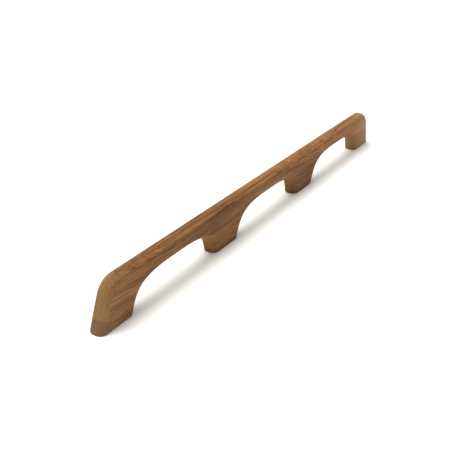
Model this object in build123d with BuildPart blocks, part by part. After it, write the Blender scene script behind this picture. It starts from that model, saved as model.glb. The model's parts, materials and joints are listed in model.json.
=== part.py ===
"""Teak grab rail with four feet and three hand openings, standing on its feet.

Frame, in millimetres: the origin is at the centre of the base plane, +X runs along the rail,
+Y across it and +Z up, away from the deck. The feet stand on the plane Z = 0.
"""
from build123d import *
import os
from math import cos, radians, sin, tan

# ---------------------------------------------------------------- rail: driving dimensions
foot_count = 4
foot_pitch = 257.0        # foot centre to foot centre
foot_length = 67.0        # length of each foot on the deck
rail_height = 68.0        # deck to the top of the rail
rail_thickness = 24.0     # thickness of the planed board
grip_depth = 26.0         # board left above each opening, at mid-span
round_over = 10.0         # radius on both faces' edges, all round but on the deck side
end_slope = 18.0          # lean of both ends from upright, in degrees
end_top_radius = 31.0     # corner between an end and the top

# ---------------------------------------------------------------- openings
leg_lean = 17.0           # lean of a leg from upright where it leaves the deck, in degrees
leg_reach = 30.0          # how far that lean holds, as the Bezier handle's length
underside_flat = 26.0     # level stretch at the middle of each opening
underside_reach = 68.0    # how gently the underside curls down from it, as the handle's length

# ---------------------------------------------------------------- threaded inserts, M6 inside
insert_length = 14.0
insert_root_radius = 4.6      # body under the wood thread
insert_crest_radius = 5.5     # tip of the wood thread
insert_thread_pitch = 3.0
insert_bore_radius = 2.5      # minor radius of the M6 thread
insert_recess = 0.5           # the insert stands this far inside the foot
insert_mouth_chamfer = 0.6
slot_width = 1.6              # screwdriver slot across the lower face
slot_depth = 2.2
thread_start = 1.2            # thread's first turn above the lower face
thread_height = 10.8
thread_root_half = 0.75       # half of the thread's width at the body
thread_sink = 0.3             # how deep the thread's root is set in the body

# ---------------------------------------------------------------- holes in the feet
seat_gap = 0.03               # between the thread's tip and the wood
hole_depth = 24.0             # full-width depth of the drilled hole
drill_point_angle = 118.0

# ---------------------------------------------------------------- worked-out places
foot_centres = [(index - (foot_count - 1) / 2) * foot_pitch for index in range(foot_count)]
half_length = foot_centres[-1] + foot_length / 2
underside = rail_height - grip_depth
half_top = half_length - rail_height * tan(radians(end_slope))
handle_x = leg_reach * sin(radians(leg_lean))
handle_z = leg_reach * cos(radians(leg_lean))

# ---------------------------------------------------------------- teak rail
with BuildPart() as teak_rail:
    # The whole board seen from the side, with its two sloping ends.
    with BuildSketch(Plane.XZ) as side_view:
        with BuildLine() as board_outline:
            Polyline(
                (-half_length, 0),
                (half_length, 0),
                (half_top, rail_height),
                (-half_top, rail_height),
                close=True,
            )
        make_face()
        fillet(side_view.vertices().group_by(Axis.Y)[-1], end_top_radius)
        # Each hand opening: two leaning legs that curl into a nearly level underside.
        for left_foot, right_foot in zip(foot_centres, foot_centres[1:]):
            left_corner = left_foot + foot_length / 2
            right_corner = right_foot - foot_length / 2
            flat_left = (left_corner + right_corner - underside_flat) / 2
            flat_right = flat_left + underside_flat
            with BuildLine() as opening_outline:
                Bezier(
                    (left_corner, 0),
                    (left_corner + handle_x, handle_z),
                    (flat_left - underside_reach, underside),
                    (flat_left, underside),
                )
                Line((flat_left, underside), (flat_right, underside))
                Bezier(
                    (flat_right, underside),
                    (flat_right + underside_reach, underside),
                    (right_corner - handle_x, handle_z),
                    (right_corner, 0),
                )
                Line((right_corner, 0), (left_corner, 0))
            make_face(mode=Mode.SUBTRACT)
    extrude(amount=rail_thickness / 2, both=True)
    # Round over every edge of both faces, apart from those that meet the deck.
    faces_across = teak_rail.faces().sort_by(Axis.Y)
    face_edges = faces_across[0].edges() + faces_across[-1].edges()
    fillet(face_edges - face_edges.group_by(Axis.Z)[0], round_over)
    # A blind drilled hole in each foot, wider where the insert's thread has cut its seat.
    with Locations(*[(foot_x, 0, 0) for foot_x in foot_centres]):
        Cylinder(
            insert_crest_radius + seat_gap,
            insert_recess + insert_length,
            align=(Align.CENTER, Align.CENTER, Align.MIN),
            mode=Mode.SUBTRACT,
        )
        Cylinder(
            insert_root_radius,
            hole_depth,
            align=(Align.CENTER, Align.CENTER, Align.MIN),
            mode=Mode.SUBTRACT,
        )
    drill_point = insert_root_radius / tan(radians(drill_point_angle / 2))
    with Locations(*[(foot_x, 0, hole_depth) for foot_x in foot_centres]):
        Cone(
            insert_root_radius,
            0,
            drill_point,
            align=(Align.CENTER, Align.CENTER, Align.MIN),
            mode=Mode.SUBTRACT,
        )
teak_rail.part.label = "teak_rail"

os.makedirs("parts", exist_ok=True)
export_step(teak_rail.part, "parts/teak_rail.step")

# ---------------------------------------------------------------- threaded inserts
for index, foot_x in enumerate(foot_centres, start=1):
    with BuildPart(Plane(origin=(foot_x, 0, insert_recess))) as threaded_insert:
        Cylinder(
            insert_root_radius,
            insert_length,
            align=(Align.CENTER, Align.CENTER, Align.MIN),
        )
        # The coarse wood thread, a sharp ridge wound round the body.
        with BuildLine(Plane(origin=(foot_x, 0, insert_recess + thread_start))) as thread_path:
            Helix(insert_thread_pitch, thread_height, insert_root_radius)
        ridge_plane = Plane(
            origin=thread_path.wire().position_at(0),
            x_dir=(1, 0, 0),
            z_dir=thread_path.wire().tangent_at(0),
        )
        with BuildSketch(ridge_plane) as ridge:
            Polygon(
                (-thread_sink, -thread_root_half),
                (insert_crest_radius - insert_root_radius, 0),
                (-thread_sink, thread_root_half),
                align=None,
            )
        sweep(path=thread_path.wire(), is_frenet=True)
        # The hole for the machine screw, opened a little at its mouth.
        Cylinder(
            insert_bore_radius,
            insert_length,
            align=(Align.CENTER, Align.CENTER, Align.MIN),
            mode=Mode.SUBTRACT,
        )
        mouth = threaded_insert.edges().filter_by(GeomType.CIRCLE).group_by(Axis.Z)[0].sort_by(SortBy.RADIUS)[0]
        chamfer(mouth, insert_mouth_chamfer)
        Box(
            2 * insert_crest_radius,
            slot_width,
            slot_depth,
            align=(Align.CENTER, Align.CENTER, Align.MIN),
            mode=Mode.SUBTRACT,
        )
    threaded_insert.part.label = f"threaded_insert_{index}"
    export_step(threaded_insert.part, f"parts/threaded_insert_{index}.step")
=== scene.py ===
"""Teak grab rail: the finished look of its board and of the brass inserts in its four feet.

Everything is in metres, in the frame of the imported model: +X runs along the rail, +Y across it
and +Z up from the deck.
"""
import json
import logging
import math
from collections.abc import Sequence
from dataclasses import dataclass, field
from enum import Enum

import bmesh
import bpy
import numpy as np
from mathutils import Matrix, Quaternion, Vector


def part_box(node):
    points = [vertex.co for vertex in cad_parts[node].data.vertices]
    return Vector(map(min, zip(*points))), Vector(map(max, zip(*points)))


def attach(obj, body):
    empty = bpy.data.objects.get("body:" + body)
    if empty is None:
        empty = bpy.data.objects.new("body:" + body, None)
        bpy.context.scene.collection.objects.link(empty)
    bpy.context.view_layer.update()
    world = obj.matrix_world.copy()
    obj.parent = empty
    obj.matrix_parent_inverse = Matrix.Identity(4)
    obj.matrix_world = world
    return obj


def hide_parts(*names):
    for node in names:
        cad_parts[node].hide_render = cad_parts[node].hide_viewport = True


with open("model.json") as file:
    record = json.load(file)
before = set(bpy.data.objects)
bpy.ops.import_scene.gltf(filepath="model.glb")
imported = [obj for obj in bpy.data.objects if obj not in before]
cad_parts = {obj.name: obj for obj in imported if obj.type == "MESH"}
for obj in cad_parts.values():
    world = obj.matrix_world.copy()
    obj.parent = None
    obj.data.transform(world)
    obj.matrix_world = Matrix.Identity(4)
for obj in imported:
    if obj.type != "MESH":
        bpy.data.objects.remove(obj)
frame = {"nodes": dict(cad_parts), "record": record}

LOG = logging.getLogger("grab_rail")
MM = 0.001
WELD_DISTANCE = 2e-6

Colour = tuple[float, float, float, float]
Socket = bpy.types.NodeSocket
Feed = Socket | float | Sequence[float]


# ------------------------------------------------------------------------------------------
# Shader nodes
# ------------------------------------------------------------------------------------------
class SocketKind(Enum):
    """Kinds of socket on a node group's border."""

    NUMBER = "NodeSocketFloat"
    VECTOR = "NodeSocketVector"


class Surface(Enum):
    """Which finish a face of the rail takes, as its material slot."""

    PLANED = 0
    BORED = 1


class NodeSheet:
    """Adds nodes to one material's or one group's tree and links them."""

    def __init__(self, tree: bpy.types.NodeTree) -> None:
        """Starts a sheet on a tree.

        Args:
            tree: The node tree to fill.
        """
        self.tree = tree
        self.count = 0

    def add(self, kind: str, **settings: object) -> bpy.types.Node:
        """Adds one node.

        Args:
            kind: The node's type name.
            settings: Properties of the node to set.

        Returns:
            The new node.
        """
        node = self.tree.nodes.new(kind)
        node.location = (180 * (self.count % 12), -220 * (self.count // 12))
        self.count += 1
        for name, value in settings.items():
            setattr(node, name, value)
        return node

    def feed(self, socket: Socket, value: Feed) -> None:
        """Links a socket to another one, or sets its own value.

        Args:
            socket: The input to fill.
            value: An output socket, or a plain number, vector or colour.
        """
        if isinstance(value, bpy.types.NodeSocket):
            self.tree.links.new(value, socket)
        else:
            socket.default_value = value

    def math(self, operation: str, first: Feed, second: Feed = 0.0, third: Feed = 0.0) -> Socket:
        """Works out one sum on numbers.

        Args:
            operation: Name of the operation.
            first: First number.
            second: Second number, if the operation takes one.
            third: Third number, if the operation takes one.

        Returns:
            The result's socket.
        """
        node = self.add("ShaderNodeMath", operation=operation)
        for socket, value in zip(node.inputs, (first, second, third)):
            self.feed(socket, value)
        return node.outputs[0]

    def stretched(self, vector: Feed, scale: Sequence[float]) -> Socket:
        """Multiplies a vector by one number per axis.

        Args:
            vector: The vector.
            scale: Factor along X, Y and Z.

        Returns:
            The stretched vector's socket.
        """
        node = self.add("ShaderNodeVectorMath", operation="MULTIPLY")
        self.feed(node.inputs[0], vector)
        self.feed(node.inputs[1], scale)
        return node.outputs[0]

    def joined(self, x: Feed, y: Feed, z: Feed) -> Socket:
        """Joins three numbers into a vector.

        Args:
            x: Number along X.
            y: Number along Y.
            z: Number along Z.

        Returns:
            The vector's socket.
        """
        node = self.add("ShaderNodeCombineXYZ")
        for socket, value in zip(node.inputs, (x, y, z)):
            self.feed(socket, value)
        return node.outputs[0]

    def noise(self, vector: Feed, detail: float = 2.0, roughness: float = 0.5) -> Socket:
        """Smooth noise at a scale of one feature per unit of the vector.

        Args:
            vector: Where to read the noise.
            detail: How many finer layers it has.
            roughness: How strong the finer layers are.

        Returns:
            The noise's socket, about 0 to 1.
        """
        node = self.add("ShaderNodeTexNoise", noise_dimensions="3D")
        self.feed(node.inputs["Vector"], vector)
        self.feed(node.inputs["Scale"], 1.0)
        self.feed(node.inputs["Detail"], detail)
        self.feed(node.inputs["Roughness"], roughness)
        return node.outputs["Fac"]

    def span(self, value: Feed, low: float, high: float, start: Feed = 0.0, end: Feed = 1.0) -> Socket:
        """Turns a range of a number smoothly into another range, held at both ends.

        Args:
            value: The number.
            low: Where the range starts.
            high: Where the range ends.
            start: The result at low.
            end: The result at high.

        Returns:
            The result's socket.
        """
        node = self.add("ShaderNodeMapRange", interpolation_type="SMOOTHSTEP")
        for socket, amount in zip(node.inputs, (value, low, high, start, end)):
            self.feed(socket, amount)
        return node.outputs[0]

    def blend(self, factor: Feed, first: Feed, second: Feed, mode: str = "MIX") -> Socket:
        """Blends two colours.

        Args:
            factor: Share of the second colour.
            first: The first colour.
            second: The second colour.
            mode: How they blend.

        Returns:
            The blended colour's socket.
        """
        node = self.add("ShaderNodeMix", data_type="RGBA", blend_type=mode)
        self.feed(node.inputs[0], factor)
        self.feed(node.inputs[6], first)
        self.feed(node.inputs[7], second)
        return node.outputs[2]

    def bump(self, height: Socket, strength: float, distance: float) -> Socket:
        """Turns a height over the surface into a normal.

        Args:
            height: The height's socket.
            strength: How much of it is felt.
            distance: The height of 1, in metres.

        Returns:
            The normal's socket.
        """
        node = self.add("ShaderNodeBump")
        self.feed(node.inputs["Strength"], strength)
        self.feed(node.inputs["Distance"], distance)
        self.feed(node.inputs["Height"], height)
        return node.outputs[0]


class EffectGroup:
    """A node group with named sockets, built once and placed in several materials."""

    name: str = ""
    takes: dict[str, SocketKind] = {}
    gives: dict[str, SocketKind] = {}

    def tree(self) -> bpy.types.NodeTree:
        """Builds the group's tree the first time, and finds it after that.

        Returns:
            The group's tree.
        """
        made = bpy.data.node_groups.get(self.name)
        if made:
            return made
        made = bpy.data.node_groups.new(self.name, "ShaderNodeTree")
        for name, kind in self.takes.items():
            made.interface.new_socket(name, in_out="INPUT", socket_type=kind.value)
        for name, kind in self.gives.items():
            made.interface.new_socket(name, in_out="OUTPUT", socket_type=kind.value)
        sheet = NodeSheet(made)
        start = sheet.add("NodeGroupInput")
        end = sheet.add("NodeGroupOutput")
        for name, socket in self.draw(sheet, start.outputs).items():
            sheet.feed(end.inputs[name], socket)
        return made

    def draw(self, sheet: NodeSheet, inputs: bpy.types.NodeOutputs) -> dict[str, Socket]:
        """Builds the inside of the group.

        Args:
            sheet: The sheet on the group's tree.
            inputs: The group's inputs, by name.

        Returns:
            The socket for each of the group's outputs.
        """
        raise NotImplementedError

    def place(self, sheet: NodeSheet, **values: Feed) -> bpy.types.NodeOutputs:
        """Places the group in a material.

        Args:
            sheet: The material's sheet.
            values: A value or socket for each input, with _ for a space in its name.

        Returns:
            The placed group's outputs, by name.
        """
        node = sheet.add("ShaderNodeGroup", node_tree=self.tree())
        for name, value in values.items():
            sheet.feed(node.inputs[name.replace("_", " ")], value)
        return node.outputs


class TeakFigure(EffectGroup):
    """Growth rings, fibre streaks and pores of one board, in the solid.

    Places and lengths are in metres. Each scale is how many features there are to a metre along,
    across and up the board.
    """

    name = "teak_figure"
    takes = {
        "Place": SocketKind.VECTOR,
        "Ring Spacing": SocketKind.NUMBER,
        "Wave Height": SocketKind.NUMBER,
        "Tilt": SocketKind.NUMBER,
    }
    gives = {
        "Rings": SocketKind.NUMBER,
        "Sheets": SocketKind.NUMBER,
        "Streaks": SocketKind.NUMBER,
        "Fibre": SocketKind.NUMBER,
        "Pores": SocketKind.NUMBER,
        "Drift": SocketKind.NUMBER,
    }

    pith_across = 110 * MM
    pith_below = -18 * MM
    wave_length = 520 * MM
    wave_phase = 1.51
    wander_depth = 5 * MM
    wander_scale = (7.0, 30.0, 30.0)
    sheet_scale = (1.8, 300.0, 30.0)
    streak_scale = (9.0, 640.0, 760.0)
    fibre_scale = (55.0, 1500.0, 1500.0)
    pore_scale = (130.0, 2300.0, 2300.0)
    drift_scale = (5.0, 22.0, 22.0)

    def draw(self, sheet: NodeSheet, inputs: bpy.types.NodeOutputs) -> dict[str, Socket]:
        """Builds the figure.

        Args:
            sheet: The sheet on the group's tree.
            inputs: The group's inputs, by name.

        Returns:
            The socket for each of the group's outputs.
        """
        place = inputs["Place"]
        apart = sheet.add("ShaderNodeSeparateXYZ")
        sheet.feed(apart.inputs[0], place)
        along, across, up = apart.outputs
        # The grain rises and falls slowly along the board, and wanders a little.
        turn = sheet.math("MULTIPLY_ADD", along, 2 * math.pi / self.wave_length, self.wave_phase)
        wave = sheet.math("MULTIPLY", sheet.math("SINE", turn), inputs["Wave Height"])
        wave = sheet.math("MULTIPLY_ADD", along, inputs["Tilt"], wave)
        wander = sheet.noise(sheet.stretched(place, self.wander_scale), 2.0)
        wander = sheet.math("MULTIPLY_ADD", wander, self.wander_depth, -self.wander_depth / 2)
        grain_up = sheet.math("ADD", sheet.math("SUBTRACT", up, wave), wander)
        grain_across = sheet.math("MULTIPLY_ADD", wander, 0.15, across)
        grain = sheet.joined(along, grain_across, grain_up)
        # Rings about the tree's heart, which lay behind and below the board.
        rise = sheet.math("ADD", grain_up, self.pith_below)
        reach = sheet.math("SUBTRACT", grain_across, self.pith_across)
        radius = sheet.math("SQRT", sheet.math("ADD", sheet.math("POWER", rise, 2.0),
                                               sheet.math("MULTIPLY", reach, reach)))
        uneven = sheet.noise(sheet.joined(sheet.math("MULTIPLY", radius, 260.0), 0.0, 0.0), 1.0)
        count = sheet.math("DIVIDE", radius, inputs["Ring Spacing"])
        count = sheet.math("MULTIPLY_ADD", uneven, 1.6, count)
        phase = sheet.math("FRACT", count)
        late = sheet.math("MULTIPLY", sheet.span(phase, 0.25, 0.88), sheet.span(phase, 0.9, 1.0, 1.0, 0.0))
        ring_number = sheet.add("ShaderNodeTexWhiteNoise", noise_dimensions="1D")
        sheet.feed(ring_number.inputs["W"], sheet.math("FLOOR", count))
        rings = sheet.math("MULTIPLY", late, sheet.span(ring_number.outputs["Value"], 0.0, 1.0, 0.35, 1.0))
        # Streaks a few millimetres apart, fine fibre, and pores that are dashes along the grain.
        sheets = sheet.noise(sheet.stretched(grain, self.sheet_scale), 3.0, 0.6)
        streaks = sheet.noise(sheet.stretched(grain, self.streak_scale), 4.0, 0.68)
        fibre = sheet.noise(sheet.stretched(grain, self.fibre_scale), 3.0, 0.6)
        dashes = sheet.noise(sheet.stretched(grain, self.pore_scale), 1.0, 0.5)
        early = sheet.span(phase, 0.0, 0.5, 1.0, 0.55)
        pores = sheet.math("MULTIPLY", sheet.span(dashes, 0.60, 0.70), early)
        drift = sheet.noise(sheet.stretched(grain, self.drift_scale), 2.0, 0.5)
        return {"Rings": rings, "Sheets": sheets, "Streaks": streaks, "Fibre": fibre, "Pores": pores, "Drift": drift}


class Handling(EffectGroup):
    """Marks of use: grime that gathers in patches, and fine scratches."""

    name = "handling_marks"
    takes = {"Place": SocketKind.VECTOR, "Patch Size": SocketKind.NUMBER, "Scratch Size": SocketKind.NUMBER}
    gives = {"Grime": SocketKind.NUMBER, "Scratches": SocketKind.NUMBER}

    def draw(self, sheet: NodeSheet, inputs: bpy.types.NodeOutputs) -> dict[str, Socket]:
        """Builds the marks.

        Args:
            sheet: The sheet on the group's tree.
            inputs: The group's inputs, by name.

        Returns:
            The socket for each of the group's outputs.
        """
        per_patch = sheet.math("DIVIDE", 1.0, inputs["Patch Size"])
        per_scratch = sheet.math("DIVIDE", 1.0, inputs["Scratch Size"])
        patches = sheet.add("ShaderNodeVectorMath", operation="SCALE")
        sheet.feed(patches.inputs[0], inputs["Place"])
        sheet.feed(patches.inputs["Scale"], per_patch)
        grime = sheet.span(sheet.noise(patches.outputs[0], 4.0, 0.62), 0.46, 0.72)
        lines = sheet.add("ShaderNodeVectorMath", operation="SCALE")
        sheet.feed(lines.inputs[0], inputs["Place"])
        sheet.feed(lines.inputs["Scale"], per_scratch)
        one_way = sheet.noise(sheet.stretched(lines.outputs[0], (0.12, 2.0, 1.3)), 2.0, 0.7)
        other_way = sheet.noise(sheet.stretched(lines.outputs[0], (1.1, 0.2, 2.2)), 2.0, 0.7)
        scratches = sheet.math("MAXIMUM", sheet.span(one_way, 0.64, 0.72), sheet.span(other_way, 0.67, 0.74))
        return {"Grime": grime, "Scratches": scratches}


# ------------------------------------------------------------------------------------------
# Finishes
# ------------------------------------------------------------------------------------------
def new_material(name: str) -> tuple[bpy.types.Material, NodeSheet, bpy.types.Node, Socket]:
    """Starts a material.

    Args:
        name: The material's name.

    Returns:
        The material, its sheet, its Principled shader and the place's socket, in metres.
    """
    material = bpy.data.materials.new(name)
    material.use_nodes = True
    material.node_tree.nodes.clear()
    sheet = NodeSheet(material.node_tree)
    shader = sheet.add("ShaderNodeBsdfPrincipled")
    output = sheet.add("ShaderNodeOutputMaterial")
    sheet.feed(output.inputs["Surface"], shader.outputs[0])
    place = sheet.add("ShaderNodeTexCoord").outputs["Object"]
    return material, sheet, shader, place


@dataclass(frozen=True)
class Teak:
    """Bare sanded teak.

    Fields give the colours of the wood between and at the ring lines, of its pores, of the painted shade
    just above the deck (which also tints the darker band low on the -X foot), of its paler ends, of its cut
    ends and of grime on it, then the depth of each part of the figure, from 0 to 1, and the size of its features in
    metres.
    """

    name: str
    pale: Colour
    dark: Colour
    pore: Colour
    # Tint of the painted shade just above the deck, also used for the darker band low on the -X foot.
    shade_band: Colour
    bleached: Colour = (0.43, 0.285, 0.135, 1.0)
    end_grain: Colour = (0.168, 0.101, 0.035, 1.0)
    soiled: Colour = (0.32, 0.25, 0.18, 1.0)
    end_grain_depth: float = 0.6
    ring_depth: float = 0.28
    sheet_depth: float = 0.40
    streak_depth: float = 0.74
    drift_depth: float = 0.25
    heart_depth: float = 0.04
    fibre_depth: float = 0.32
    pore_depth: float = 0.55
    # How strong the painted shade just above the deck is.
    shade_band_depth: float = 0.5
    end_band_depth: float = 0.95
    side_band_depth: float = 0.45
    grime_depth: float = 0.12
    far_paling: float = 0.42
    near_paling: float = 0.23
    ring_spacing: float = 1.9 * MM
    wave_height: float = 5.0 * MM
    tilt: float = -0.03
    patch_size: float = 28 * MM
    scratch_size: float = 9 * MM
    shine: float = 0.14
    roughness: float = 0.62
    bump_strength: float = 0.2
    bump_height: float = 0.25 * MM

    def make(self) -> bpy.types.Material:
        """Makes the wood's material.

        Returns:
            The material.
        """
        material, sheet, shader, place = new_material(self.name)
        figure = TeakFigure().place(
            sheet, Place=place, Ring_Spacing=self.ring_spacing, Wave_Height=self.wave_height, Tilt=self.tilt)
        marks = Handling().place(
            sheet, Place=place, Patch_Size=self.patch_size, Scratch_Size=self.scratch_size)
        apart = sheet.add("ShaderNodeSeparateXYZ")
        sheet.feed(apart.inputs[0], place)
        along, _, up = apart.outputs
        layered = sheet.span(figure["Sheets"], 0.42, 0.60)
        colour = self.along_grain(sheet, figure, layered, along)
        colour = self.cut_ends(sheet, layered, colour)
        # Painted shade just above the deck, and the darker band low on the -X foot.
        colour = self.shaded_and_banded(sheet, figure, along, up, colour)
        colour = self.paled(sheet, figure, along, colour)
        grime = sheet.math("MULTIPLY", marks["Grime"], self.grime_depth)
        colour = sheet.blend(grime, colour, self.soiled, "MULTIPLY")
        sheet.feed(shader.inputs["Base Color"], colour)
        rough = sheet.math("MULTIPLY_ADD", figure["Rings"], -0.06, self.roughness)
        rough = sheet.math("MULTIPLY_ADD", figure["Fibre"], 0.12, rough)
        rough = sheet.math("MULTIPLY_ADD", figure["Pores"], 0.15, rough)
        sheet.feed(shader.inputs["Roughness"], rough)
        height = sheet.math("MULTIPLY_ADD", figure["Pores"], -0.8, figure["Fibre"])
        height = sheet.math("MULTIPLY_ADD", figure["Streaks"], 0.4, height)
        height = sheet.math("MULTIPLY_ADD", marks["Scratches"], -0.12, height)
        sheet.feed(shader.inputs["Normal"], sheet.bump(height, self.bump_strength, self.bump_height))
        sheet.feed(shader.inputs["Specular IOR Level"], self.shine)
        return material

    def along_grain(
        self, sheet: NodeSheet, figure: bpy.types.NodeOutputs, layered: Socket, along: Socket,
    ) -> Socket:
        """Colours the wood by its rings, streaks, fibre and pores.

        Args:
            sheet: The material's sheet.
            figure: The outputs of the placed teak figure.
            layered: How dark the wood's layers are here, 0 to 1.
            along: Place along the rail.

        Returns:
            The colour's socket.
        """
        drifting = sheet.span(figure["Drift"], 0.32, 0.7)
        streaking = sheet.span(figure["Streaks"], 0.48, 0.64)
        share = sheet.math("MULTIPLY", figure["Rings"], self.ring_depth)
        share = sheet.math("MULTIPLY_ADD", streaking, self.streak_depth, share)
        share = sheet.math("MULTIPLY_ADD", layered, self.sheet_depth, share)
        share = sheet.math("MULTIPLY_ADD", drifting, self.drift_depth, share)
        # The -X half of the board is a little darker than the other.
        share = sheet.math("ADD", sheet.span(along, -150 * MM, 120 * MM, self.heart_depth, -0.04), share)
        colour = sheet.blend(share, self.pale, self.dark)
        fine = sheet.span(figure["Fibre"], 0.3, 0.7, 1.0 - self.fibre_depth, 1.0 + self.fibre_depth)
        shade = sheet.add("ShaderNodeVectorMath", operation="SCALE")
        sheet.feed(shade.inputs[0], colour)
        sheet.feed(shade.inputs["Scale"], fine)
        return sheet.blend(sheet.math("MULTIPLY", figure["Pores"], self.pore_depth), shade.outputs[0], self.pore)

    def cut_ends(self, sheet: NodeSheet, layered: Socket, colour: Socket) -> Socket:
        """Makes the faces that are cut across the grain greyer and more even.

        Args:
            sheet: The material's sheet.
            layered: How dark the wood's layers are here, 0 to 1.
            colour: The colour so far.

        Returns:
            The colour's socket.
        """
        facing = sheet.add("ShaderNodeSeparateXYZ")
        sheet.feed(facing.inputs[0], sheet.add("ShaderNodeTexCoord").outputs["Normal"])
        across_grain = sheet.math("ABSOLUTE", facing.outputs["X"])
        evenness = sheet.math("MULTIPLY_ADD", layered, -0.4, 1.0)
        cut = sheet.math("MULTIPLY", sheet.span(across_grain, 0.45, 0.95, 0.0, self.end_grain_depth), evenness)
        return sheet.blend(cut, colour, self.end_grain)

    def shaded_and_banded(
        self, sheet: NodeSheet, figure: bpy.types.NodeOutputs, along: Socket, up: Socket, colour: Socket,
    ) -> Socket:
        """Darkens the wood just above the deck as painted shade, and darkens a band low on the -X foot, which is
        tallest and crispest at the -X end.

        Args:
            sheet: The material's sheet.
            figure: The outputs of the placed teak figure.
            along: Place along the rail.
            up: Height above the deck.
            colour: The colour so far.

        Returns:
            The colour's socket.
        """
        # Painted shade: the few millimetres above the deck are darkened, where contact shade falls, with an uneven
        # top edge.
        edge = sheet.math("MULTIPLY_ADD", figure["Drift"], -9 * MM, up)
        shade_band = sheet.span(edge, 1 * MM, 7 * MM, self.shade_band_depth, 0.0)
        # A darker band low on the -X foot, with a nearly straight upper edge, strongest on its end face.
        ragged = sheet.math("MULTIPLY_ADD", figure["Sheets"], -3 * MM, up)
        sloping = sheet.math("MULTIPLY_ADD", along, 0.09, ragged)
        below = sheet.span(sloping, -19.6 * MM, -18.2 * MM, 1.0, 0.0)
        in_first_foot = sheet.span(along, -350 * MM, -340 * MM, 1.0, 0.0)
        depth = sheet.span(along, -406 * MM, -398 * MM, self.end_band_depth, self.side_band_depth)
        end_band = sheet.math("MULTIPLY", depth, sheet.math("MULTIPLY", below, in_first_foot))
        return sheet.blend(sheet.math("MAXIMUM", shade_band, end_band), colour, self.shade_band, "MULTIPLY")

    def paled(
        self, sheet: NodeSheet, figure: bpy.types.NodeOutputs, along: Socket, colour: Socket,
    ) -> Socket:
        """Makes the wood paler towards both ends of the board.

        Args:
            sheet: The material's sheet.
            figure: The outputs of the placed teak figure.
            along: Place along the rail.
            colour: The colour so far.

        Returns:
            The colour's socket.
        """
        far_place = sheet.math("MULTIPLY_ADD", figure["Drift"], 90 * MM, along)
        near_place = sheet.math("MULTIPLY_ADD", figure["Drift"], 50 * MM, along)
        far_paling = sheet.span(far_place, 350 * MM, 440 * MM, 0.0, self.far_paling)
        near_paling = sheet.span(near_place, -400 * MM, -320 * MM, self.near_paling, 0.0)
        return sheet.blend(sheet.math("ADD", far_paling, near_paling), colour, self.bleached)


@dataclass(frozen=True)
class Brass:
    """Turned brass, dulled a little, with fine tool lines round it and grime in patches."""

    name: str
    bright: Colour
    dull: Colour
    roughness: float = 0.3

    def make(self) -> bpy.types.Material:
        """Makes the brass's material.

        Returns:
            The material.
        """
        material, sheet, shader, place = new_material(self.name)
        marks = Handling().place(sheet, Place=place, Patch_Size=4 * MM, Scratch_Size=1.4 * MM)
        tooling = sheet.noise(sheet.stretched(place, (300.0, 300.0, 9000.0)), 2.0, 0.5)
        tarnish = sheet.math("MULTIPLY_ADD", marks["Grime"], 0.6, 0.12)
        colour = sheet.blend(tarnish, self.bright, self.dull)
        colour = sheet.blend(sheet.math("MULTIPLY", marks["Scratches"], 0.35), colour, self.bright)
        sheet.feed(shader.inputs["Base Color"], colour)
        sheet.feed(shader.inputs["Metallic"], 1.0)
        rough = sheet.math("MULTIPLY_ADD", marks["Grime"], 0.22, self.roughness)
        rough = sheet.math("MULTIPLY_ADD", tooling, 0.1, rough)
        sheet.feed(shader.inputs["Roughness"], rough)
        height = sheet.math("MULTIPLY_ADD", marks["Scratches"], -0.5, tooling)
        sheet.feed(shader.inputs["Normal"], sheet.bump(height, 0.25, 0.04 * MM))
        return material


@dataclass(frozen=True)
class StudioFloor:
    """Plain white paper sweep under the rail."""

    name: str = "studio_floor"
    colour: Colour = (0.92, 0.912, 0.865, 1.0)

    def make(self) -> bpy.types.Material:
        """Makes the paper's material.

        Returns:
            The material.
        """
        material, sheet, shader, _ = new_material(self.name)
        sheet.feed(shader.inputs["Base Color"], self.colour)
        sheet.feed(shader.inputs["Roughness"], 0.9)
        sheet.feed(shader.inputs["Specular IOR Level"], 0.1)
        return material


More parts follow.
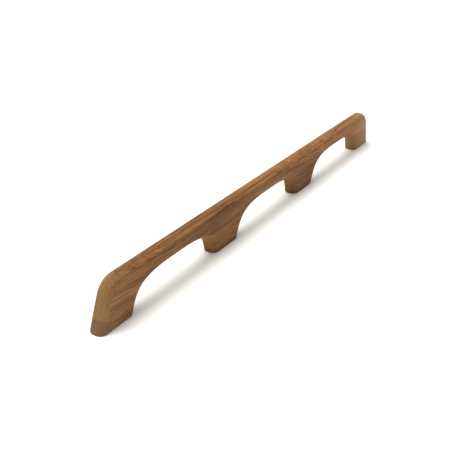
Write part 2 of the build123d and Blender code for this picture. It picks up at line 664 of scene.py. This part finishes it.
# ------------------------------------------------------------------------------------------
# Meshes
# ------------------------------------------------------------------------------------------
@dataclass
class PatchMesh:
    """Grids of points, gathered patch by patch and then welded into one closed mesh."""

    points: list[np.ndarray] = field(default_factory=list)
    quads: list[tuple[int, int, int, int]] = field(default_factory=list)
    surfaces: list[int] = field(default_factory=list)
    total: int = 0

    def patch(self, grid: np.ndarray, surface: Surface = Surface.PLANED) -> None:
        """Adds a grid of points as quads.

        Args:
            grid: The points, rows by columns by 3.
            surface: The finish of its faces.
        """
        rows, columns = grid.shape[:2]
        self.points.append(grid.reshape(-1, 3))
        for row in range(rows - 1):
            for column in range(columns - 1):
                corner = self.total + row * columns + column
                self.quads.append((corner, corner + 1, corner + columns + 1, corner + columns))
                self.surfaces.append(surface.value)
        self.total += rows * columns

    def build(self, name: str, finishes: Sequence[bpy.types.Material], sharp: float) -> bpy.types.Object:
        """Welds the patches into an object.

        Args:
            name: The piece's name.
            finishes: Its materials, in the order of Surface.
            sharp: Edges that turn by more than this many radians stay crisp.

        Returns:
            The new object, in the scene.
        """
        mesh = bpy.data.meshes.new(name)
        mesh.from_pydata(np.concatenate(self.points).tolist(), [], self.quads)
        mesh.polygons.foreach_set("material_index", self.surfaces)
        for finish in finishes:
            mesh.materials.append(finish)
        work = bmesh.new()
        work.from_mesh(mesh)
        bmesh.ops.remove_doubles(work, verts=work.verts, dist=WELD_DISTANCE)
        bmesh.ops.dissolve_degenerate(work, edges=work.edges, dist=WELD_DISTANCE)
        bmesh.ops.recalc_face_normals(work, faces=work.faces)
        open_edges = sum(1 for edge in work.edges if len(edge.link_faces) != 2)
        LOG.info("%s: %d points, %d faces, %d open edges", name, len(work.verts), len(work.faces), open_edges)
        work.to_mesh(mesh)
        work.free()
        mesh.polygons.foreach_set("use_smooth", [True] * len(mesh.polygons))
        mesh.set_sharp_from_angle(angle=sharp)
        piece = bpy.data.objects.new(name, mesh)
        bpy.context.scene.collection.objects.link(piece)
        weighted = piece.modifiers.new("even_shading", "WEIGHTED_NORMAL")
        weighted.keep_sharp = True
        return piece


def coons(bottom: np.ndarray, top: np.ndarray, left: np.ndarray, right: np.ndarray) -> np.ndarray:
    """Fills four joined curves with a smooth grid.

    Args:
        bottom: Points along the lower side, left to right.
        top: As many points along the upper side, left to right.
        left: Points up the left side.
        right: As many points up the right side.

    Returns:
        The grid, rows upwards by columns to the right.
    """
    across = np.linspace(0, 1, len(bottom))[None, :, None]
    up = np.linspace(0, 1, len(left))[:, None, None]
    rows = (1 - up) * bottom[None] + up * top[None]
    columns = (1 - across) * left[:, None] + across * right[:, None]
    corners = ((1 - up) * ((1 - across) * bottom[0] + across * bottom[-1])
               + up * ((1 - across) * top[0] + across * top[-1]))
    return rows + columns - corners


def straight(start: np.ndarray, end: np.ndarray, pieces: int) -> np.ndarray:
    """Points along a line.

    Args:
        start: First point.
        end: Last point.
        pieces: How many equal lengths it has.

    Returns:
        The points, one more than its pieces.
    """
    share = np.linspace(0, 1, pieces + 1)[:, None]
    return (1 - share) * np.asarray(start) + share * np.asarray(end)


@dataclass
class RailOutline:
    """The rail seen from the side, at any inset from its widest outline.

    All fields are in metres or radians. Both ends lean in by the same slope.
    """

    half_length: float
    height: float
    foot_centres: list[float]
    foot_length: float = 67 * MM
    grip_depth: float = 26 * MM
    end_slope: float = math.radians(18)
    corner_radius: float = 31 * MM
    leg_lean: float = math.radians(17)
    leg_reach: float = 30 * MM
    underside_flat: float = 26 * MM
    underside_reach: float = 68 * MM
    edge_break: float = 1.5 * MM
    base_pieces: int = 28
    leg_pieces: int = 14
    bar_pieces: int = 12
    half_arc_pieces: int = 7
    curl_pieces: int = 27
    flat_pieces: int = 3
    split: float = 0.42
    end_split: float = 0.62

    @property
    def underside(self) -> float:
        """Height of the bar's underside at mid-span."""
        return self.height - self.grip_depth

    @property
    def leg_span(self) -> float:
        """How far a leg's curve reaches along the rail."""
        return (self.foot_centres[1] - self.foot_centres[0] - self.foot_length - self.underside_flat) / 2

    def leg_steps(self) -> np.ndarray:
        """Spaces the steps up a leg: even up to the split, then even along the curl.

        Returns:
            The steps, from 0 at the deck to 1 at the underside.
        """
        fine = np.linspace(self.split, 1, 400)
        places = self.curve(fine)[0]
        length = np.concatenate([[0], np.cumsum(np.hypot(*np.diff(places, axis=0).T))])
        curl = np.interp(np.linspace(0, length[-1], self.curl_pieces + 1), length, fine)
        return np.concatenate([np.linspace(0, self.split, self.leg_pieces + 1), curl[1:]])

    def curve(self, steps: np.ndarray) -> tuple[np.ndarray, np.ndarray]:
        """A leg's curve from its foot's corner, for an opening towards +X.

        Args:
            steps: Where along the curve, 0 at the deck to 1 at the underside.

        Returns:
            Its points, and the directions from it into the wood.
        """
        reach = self.leg_reach * np.array([math.sin(self.leg_lean), math.cos(self.leg_lean)])
        curl = [self.leg_span - self.underside_reach, self.underside]
        hold = np.array([[0, 0], reach, curl, [self.leg_span, self.underside]])
        step = steps[:, None]
        rest = 1 - step
        points = (rest**3 * hold[0] + 3 * rest**2 * step * hold[1]
                  + 3 * rest * step**2 * hold[2] + step**3 * hold[3])
        run = (rest**2 * (hold[1] - hold[0]) + 2 * rest * step * (hold[2] - hold[1])
               + step**2 * (hold[3] - hold[2]))
        run /= np.linalg.norm(run, axis=1)[:, None]
        return points, np.stack([-run[:, 1], run[:, 0]], axis=1)

    def leg(self, corner: float, towards: int, inset: float) -> np.ndarray:
        """Points up a leg of an opening, from just above the deck to the underside.

        Args:
            corner: Where the foot's corner stands on the deck.
            towards: 1 if the opening lies towards +X of the corner, -1 if towards -X.
            inset: Distance into the wood.

        Returns:
            The points as x and z.
        """
        points, inwards = self.curve(self.leg_steps())
        points = points + inset * inwards
        drop = points[0, 1] - self.edge_break
        points[0] -= drop * np.array([math.tan(self.leg_lean), 1.0])
        points[:, 0] = corner + towards * points[:, 0]
        return points

    def end(self, side: int, inset: float) -> tuple[np.ndarray, np.ndarray, np.ndarray]:
        """Points up an end of the rail, from just above the deck to the top.

        Args:
            side: -1 for the -X end, 1 for the +X end.
            inset: Distance into the wood.

        Returns:
            The lower part beside the foot, the rest up to the middle of the rounded corner, and
            the corner's other half, each as x and z.
        """
        slope = self.end_slope
        centre_z = self.height - self.corner_radius
        centre_x = self.half_length - centre_z * math.tan(slope) - self.corner_radius / math.cos(slope)
        angles = np.linspace(slope, math.pi / 2, 2 * self.half_arc_pieces + 1)
        radius = self.corner_radius - inset
        arc = np.stack([centre_x + radius * np.cos(angles), centre_z + radius * np.sin(angles)], axis=1)
        base_x = self.half_length - self.edge_break * math.tan(slope) - inset / math.cos(slope)
        base = np.array([base_x, self.edge_break])
        rest = self.bar_pieces - self.half_arc_pieces
        joint = base + (arc[0] - base) * self.end_split
        lower = straight(base, joint, self.leg_pieces)
        upper = np.concatenate([straight(joint, arc[0], rest), arc[1:self.half_arc_pieces + 1]])
        last = arc[self.half_arc_pieces:]
        for part in (lower, upper, last):
            part[:, 0] *= side
        return lower, upper, last

    def foot_corners(self, index: int) -> tuple[float, float]:
        """Returns the x of a foot's two corners on the deck."""
        return (self.foot_centres[index] - self.foot_length / 2, self.foot_centres[index] + self.foot_length / 2)


@dataclass
class TeakRail:
    """The one-piece board with its feet, hand openings and drilled holes."""

    node: str = "teak_rail"
    name: str = "rail_teak_board"
    slot: str = "teak"
    round_over: float = 10 * MM
    arc_layers: int = 10
    seat_radius: float = 5.53 * MM
    seat_depth: float = 14.5 * MM
    pilot_radius: float = 4.6 * MM
    pilot_depth: float = 24 * MM
    drill_point: float = math.radians(118)
    mouth_break: float = 0.25 * MM
    base_rings: int = 7
    ring_evenness: float = 0.45
    finish: Teak = Teak(
        name="teak_planed",
        pale=(0.334, 0.154, 0.0515, 1.0),
        dark=(0.102, 0.043, 0.0140, 1.0),
        pore=(0.050, 0.023, 0.009, 1.0),
        # Tint of the painted shade just above the deck, and of the darker band low on the -X foot.
        shade_band=(0.56, 0.50, 0.46, 1.0),
    )
    bored_finish: Teak = Teak(
        name="teak_bored",
        pale=(0.262, 0.125, 0.044, 1.0),
        dark=(0.110, 0.048, 0.017, 1.0),
        pore=(0.045, 0.022, 0.011, 1.0),
        # Tint of the painted shade in the lowest millimetres of the drilled holes.
        shade_band=(0.62, 0.52, 0.50, 1.0),
        fibre_depth=0.4,
        grime_depth=0.3,
        roughness=0.8,
        bump_strength=0.6,
    )

    def __post_init__(self) -> None:
        """Reads the board's size from the model."""
        self.low, self.high = (np.array(corner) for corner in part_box(self.node))
        fixings = [mount for mount in frame["record"]["mounts"] if mount["kind"] == "threaded_hole"]
        places = sorted(mount["pos_m"][0] for mount in fixings)
        self.outline = RailOutline(
            half_length=self.high[0], height=self.high[2] - self.low[2], foot_centres=places)

    def layers(self) -> list[tuple[float, float]]:
        """Spaces the layers across the board, close together round its rounded edges.

        Returns:
            The y and the inset of each layer, from -Y to +Y.
        """
        turns = np.linspace(0, math.pi / 2, self.arc_layers + 1)
        insets = self.round_over * (1 - np.sin(turns))
        front = self.low[1] + self.round_over * (1 - np.cos(turns))
        near = list(zip(front, insets))
        return near + [(-y, inset) for y, inset in reversed(near)]

    def lift(self, chain: np.ndarray, y: float) -> np.ndarray:
        """Returns a side view's points as 3-D points at y."""
        return np.stack([chain[..., 0], np.full(chain.shape[:-1], y), chain[..., 1]], axis=-1)

    def top_places(self) -> list[np.ndarray]:
        """Spaces the points along the top so that they line up with those of the openings.

        Returns:
            The x of the points, by block: foot, opening, foot and so on.
        """
        shape, inset = self.outline, self.round_over
        arc_left = shape.end(-1, inset)[2][-1, 0]
        arc_right = shape.end(1, inset)[2][-1, 0]
        blocks: list[np.ndarray] = []
        start = arc_left
        for index in range(len(shape.foot_centres) - 1):
            under = self.underside_chain(index, inset)[:, 0]
            pieces = shape.base_pieces - (shape.half_arc_pieces if index == 0 else 0)
            blocks += [np.linspace(start, under[0], pieces + 1), under]
            start = under[-1]
        blocks.append(np.linspace(start, arc_right, shape.base_pieces - shape.half_arc_pieces + 1))
        return blocks

    def opening_chain(self, index: int, inset: float) -> np.ndarray:
        """Points round an opening from one deck corner to the other.

        Args:
            index: Which opening, from the -X end.
            inset: Distance into the wood.

        Returns:
            The points as x and z.
        """
        shape = self.outline
        left = shape.leg(shape.foot_corners(index)[1], 1, inset)
        right = shape.leg(shape.foot_corners(index + 1)[0], -1, inset)[::-1]
        flat = straight(left[-1], right[0], shape.flat_pieces)
        return np.concatenate([left[:-1], flat, right[1:]])

    def underside_chain(self, index: int, inset: float) -> np.ndarray:
        """Points round the upper part of an opening, above the splits of its two legs.

        Args:
            index: Which opening, from the -X end.
            inset: Distance into the wood.

        Returns:
            The points as x and z.
        """
        chain = self.opening_chain(index, inset)
        return chain[self.outline.leg_pieces:len(chain) - self.outline.leg_pieces]

    def side_patches(self) -> list[np.ndarray]:
        """Lays out the flat side faces: the low part of each foot, the part above it and the grips.

        Returns:
            The grids, as x and z.
        """
        shape, inset = self.outline, self.round_over
        last_foot = len(shape.foot_centres) - 1
        blocks = self.top_places()
        top_z = shape.height - inset
        legs = shape.leg_pieces
        patches = []
        for foot in range(last_foot + 1):
            if foot == 0:
                left_low, left_high, left_arc = shape.end(-1, inset)
            else:
                chain = self.opening_chain(foot - 1, inset)[::-1]
                left_low = chain[:legs + 1]
            if foot == last_foot:
                right_low, right_high, right_arc = shape.end(1, inset)
            else:
                chain = self.opening_chain(foot, inset)
                right_low = chain[:legs + 1]
            base = straight(left_low[0], right_low[0], shape.base_pieces)
            brow = straight(left_low[-1], right_low[-1], shape.base_pieces)
            patches.append(coons(base, brow, left_low, right_low))
            places = blocks[2 * foot]
            top = np.stack([places, np.full(len(places), top_z)], axis=1)
            if foot == 0:
                top = np.concatenate([left_arc[:-1], top])
            else:
                left_high = straight(left_low[-1], top[0], shape.bar_pieces)
            if foot == last_foot:
                top = np.concatenate([top, right_arc[::-1][1:]])
            else:
                right_high = straight(right_low[-1], top[-1], shape.bar_pieces)
            patches.append(coons(brow, top, left_high, right_high))
            if foot < last_foot:
                under = self.underside_chain(foot, inset)
                over = np.stack([under[:, 0], np.full(len(under), top_z)], axis=1)
                patches.append(coons(
                    under, over,
                    straight(under[0], over[0], shape.bar_pieces),
                    straight(under[-1], over[-1], shape.bar_pieces)))
        return patches

    def outer_chain(self, inset: float) -> np.ndarray:
        """Points over the rail from one end's base to the other's.

        Args:
            inset: Distance into the wood.

        Returns:
            The points as x and z.
        """
        shape = self.outline
        left = np.concatenate([part[:-1] for part in shape.end(-1, inset)])
        right = np.concatenate([part[:-1] for part in shape.end(1, inset)])[::-1]
        places = np.concatenate([block[:-1] for block in self.top_places()[:-1]] + [self.top_places()[-1]])
        top = np.stack([places, np.full(len(places), shape.height - inset)], axis=1)
        return np.concatenate([left, top, right])

    def rims(self, inset: float) -> list[np.ndarray]:
        """Points along every rim of the side view: over the rail, then round each opening.

        Args:
            inset: Distance into the wood.

        Returns:
            The points of each rim as x and z.
        """
        openings = range(len(self.outline.foot_centres) - 1)
        return [self.outer_chain(inset)] + [self.opening_chain(index, inset) for index in openings]

    def foot_ring(self, foot: int) -> np.ndarray:
        """Points round a foot just above the deck.

        Args:
            foot: Which foot, from the -X end.

        Returns:
            The points as x and y, starting at its -X, -Y corner.
        """
        shape = self.outline
        left, right = [], []
        for y, inset in self.layers():
            first = shape.end(-1, inset)[0] if foot == 0 else self.opening_chain(foot - 1, inset)[::-1]
            last_foot = foot == len(shape.foot_centres) - 1
            second = shape.end(1, inset)[0] if last_foot else self.opening_chain(foot, inset)
            left.append((first[0, 0], y))
            right.append((second[0, 0], y))
        near = straight(np.array(left[0]), np.array(right[0]), shape.base_pieces)
        far = straight(np.array(right[-1]), np.array(left[-1]), shape.base_pieces)
        return np.concatenate([near[:-1], right[:-1], far[:-1], left[::-1][:-1]])

    def foot_patches(self, mesh: PatchMesh, foot: int) -> None:
        """Adds a foot's deck side: its eased edge, its flat and its drilled hole.

        Args:
            mesh: The rail's mesh so far.
            foot: Which foot, from the -X end.
        """
        ring = self.foot_ring(foot)
        ahead = np.roll(ring, -1, axis=0) - np.roll(ring, 1, axis=0)
        ahead /= np.linalg.norm(ahead, axis=1)[:, None]
        inwards = np.stack([-ahead[:, 1], ahead[:, 0]], axis=1)
        ease = self.outline.edge_break
        rows = []
        for turn in np.linspace(0, math.pi / 2, 4):
            flat = ring + inwards * ease * (1 - math.cos(turn))
            rows.append(np.column_stack([flat, np.full(len(flat), ease * (1 - math.sin(turn)))]))
        mesh.patch(self.closed(rows))
        centre = np.array([self.outline.foot_centres[foot], 0.0])
        outer = rows[-1][:, :2] - centre
        polar = np.unwrap(np.arctan2(outer[:, 1], outer[:, 0]))
        even = polar[0] + np.linspace(0, 2 * math.pi, len(ring), endpoint=False)
        angles = (1 - self.ring_evenness) * polar + self.ring_evenness * even
        circle = np.stack([np.cos(angles), np.sin(angles)], axis=1)
        mouth = circle * (self.seat_radius + self.mouth_break)
        flats = [outer * (1 - share) + mouth * share for share in np.linspace(0, 1, self.base_rings + 1)]
        mesh.patch(self.closed([np.column_stack([flat + centre, np.zeros(len(flat))]) for flat in flats]))
        tip = self.pilot_depth + self.pilot_radius / math.tan(self.drill_point / 2)
        profile = [
            (self.seat_radius + self.mouth_break, 0.0), (self.seat_radius, self.mouth_break),
            (self.seat_radius, self.seat_depth / 2), (self.seat_radius, self.seat_depth),
            (self.pilot_radius, self.seat_depth), (self.pilot_radius, self.pilot_depth),
            (self.pilot_radius / 2, (self.pilot_depth + tip) / 2), (0.0, tip),
        ]
        walls = [np.column_stack([circle * radius + centre, np.full(len(circle), z)]) for radius, z in profile]
        mesh.patch(self.closed(walls), Surface.BORED)

    def closed(self, rows: list[np.ndarray]) -> np.ndarray:
        """Closes rings of points into a grid whose last column is its first.

        Args:
            rows: The rings, with as many points each.

        Returns:
            The grid.
        """
        grid = np.stack(rows)
        return np.concatenate([grid, grid[:, :1]], axis=1)

    def build(self) -> bpy.types.Object:
        """Builds the finished board and sets it in place of its model node.

        Returns:
            The board.
        """
        mesh = PatchMesh()
        layers = [[self.lift(rim, y) for rim in self.rims(inset)] for y, inset in self.layers()]
        for rows in zip(*layers):
            mesh.patch(np.stack(rows))
        for grid in self.side_patches():
            mesh.patch(self.lift(grid, self.low[1]))
            mesh.patch(self.lift(grid, self.high[1]))
        for foot in range(len(self.outline.foot_centres)):
            self.foot_patches(mesh, foot)
        board = mesh.build(self.name, [self.finish.make(), self.bored_finish.make()], math.radians(40))
        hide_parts(self.node)
        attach(board, "root")
        return board


@dataclass
class ThreadedInserts:
    """The brass inserts, whose model nodes are kept and given their finish."""

    prefix: str = "threaded_insert_"
    finish: Brass = Brass(
        name="brass_turned",
        bright=(0.86, 0.60, 0.25, 1.0),
        dull=(0.46, 0.29, 0.11, 1.0),
    )

    def build(self) -> list[bpy.types.Object]:
        """Puts the brass on the inserts.

        Returns:
            The inserts.
        """
        brass = self.finish.make()
        inserts = [node for name, node in sorted(frame["nodes"].items()) if name.startswith(self.prefix)]
        for insert in inserts:
            insert.data.materials.clear()
            insert.data.materials.append(brass)
        return inserts


# ------------------------------------------------------------------------------------------
# Studio
# ------------------------------------------------------------------------------------------
@dataclass
class Studio:
    """Floor, lights and camera.

    Places and sizes are in metres, the roll in radians, the key light in watts, and the lens and
    film in millimetres.
    """

    floor_half: float = 9.0
    floor_drop: float = 0.2 * MM
    key_place: tuple[float, float, float] = (-0.8, 1.5, 5.8)
    key_size: float = 3.4
    key_power: float = 354.0
    sky_strength: float = 0.65
    camera_place: tuple[float, float, float] = (-1.0111, -0.5202, 0.5581)
    camera_aim: tuple[float, float, float] = (-0.1175, 0.0, 0.0262)
    camera_roll: float = math.radians(3.04)
    lens: float = 62.24
    film_width: float = 36.0
    view_reach: float = 50.0

    def lay_floor(self) -> bpy.types.Object:
        """Lays the floor under the rail.

        Returns:
            The floor.
        """
        half = self.floor_half
        grid = np.stack([
            np.stack([np.linspace(-half, half, 7), np.full(7, y), np.full(7, -self.floor_drop)], axis=1)
            for y in np.linspace(-half, half, 7)])
        mesh = PatchMesh()
        mesh.patch(grid)
        floor = mesh.build("studio_floor", [StudioFloor().make()], math.pi)
        return floor

    def hang_lights(self) -> None:
        """Hangs the softbox and lights the room."""
        light = bpy.data.lights.new("softbox", "AREA")
        light.shape = "SQUARE"
        light.size = self.key_size
        light.energy = self.key_power
        lamp = bpy.data.objects.new("softbox", light)
        lamp.location = self.key_place
        lamp.rotation_euler = (-Vector(self.key_place)).to_track_quat("-Z", "Y").to_euler()
        bpy.context.scene.collection.objects.link(lamp)
        world = bpy.data.worlds.new("room")
        world.use_nodes = True
        background = world.node_tree.nodes["Background"]
        background.inputs["Color"].default_value = (1.0, 1.0, 1.0, 1.0)
        background.inputs["Strength"].default_value = self.sky_strength
        bpy.context.scene.world = world

    def set_camera(self) -> None:
        """Sets up the camera on its stand."""
        camera = bpy.data.cameras.new("view")
        camera.lens = self.lens
        camera.sensor_width = self.film_width
        camera.clip_end = self.view_reach
        stand = bpy.data.objects.new("view", camera)
        line = Vector(self.camera_aim) - Vector(self.camera_place)
        turn = line.to_track_quat("-Z", "Y") @ Quaternion((0.0, 0.0, 1.0), self.camera_roll)
        stand.location = self.camera_place
        stand.rotation_euler = turn.to_euler()
        bpy.context.scene.collection.objects.link(stand)
        bpy.context.scene.camera = stand

    def set_up(self) -> None:
        """Sets up the whole studio and how its tones are shown."""
        self.lay_floor()
        self.hang_lights()
        self.set_camera()
        bpy.context.scene.view_settings.view_transform = "Standard"


def main() -> None:
    """Builds every piece in order and reports it."""
    logging.basicConfig(level=logging.INFO, format="%(name)s: %(message)s")
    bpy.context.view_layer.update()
    Studio().set_up()
    board = TeakRail().build()
    LOG.info("%s stands for %s", board.name, TeakRail.node)
    for insert in ThreadedInserts().build():
        LOG.info("%s finished in brass", insert.name)


if __name__ == "__main__":
    main()
